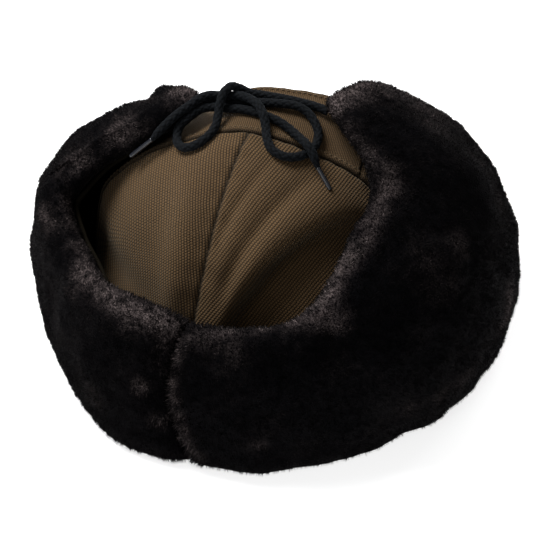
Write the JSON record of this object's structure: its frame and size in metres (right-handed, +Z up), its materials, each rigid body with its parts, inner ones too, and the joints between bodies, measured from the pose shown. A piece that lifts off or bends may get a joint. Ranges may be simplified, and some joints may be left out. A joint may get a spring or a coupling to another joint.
{
  "type": "winter trapper hat",
  "caption": "Trapper hat with a seamed cloth crown and fur neck, ear and front flaps folded up round it, the ear tips tied over the crown with a round lace in a bow.",
  "frame": {"origin": "on the surface the hat rests on, under the middle of its width and length", "axes": "+Z up out of the crown, -Y towards the neck seam, +Y towards the front peak, X across the ears"},
  "size_m": [0.2396, 0.2329, 0.1332],
  "materials": {
    "crown_cloth": "dull olive-brown woven cloth",
    "facing_cloth": "dull dark olive cloth",
    "fur": "short dense near-black brown pile",
    "lace": "dark slate round braid",
    "aglet": "glossy black"
  },
  "bodies": {
    "root": {"crown_neck_left": "crown_cloth", "crown_neck_right": "crown_cloth", "crown_peak_left": "crown_cloth", "crown_peak_right": "crown_cloth", "crown_top": "crown_cloth", "crown_side_left": "crown_cloth", "crown_side_right": "crown_cloth", "flap_left": "fur", "flap_right": "fur", "front_peak": "fur", "flap_left_facing": "facing_cloth", "flap_right_facing": "facing_cloth", "front_peak_facing": "facing_cloth", "lace_left": "lace", "lace_right": "lace", "aglet_left": "aglet", "aglet_right": "aglet"}
  },
  "joints": []
}
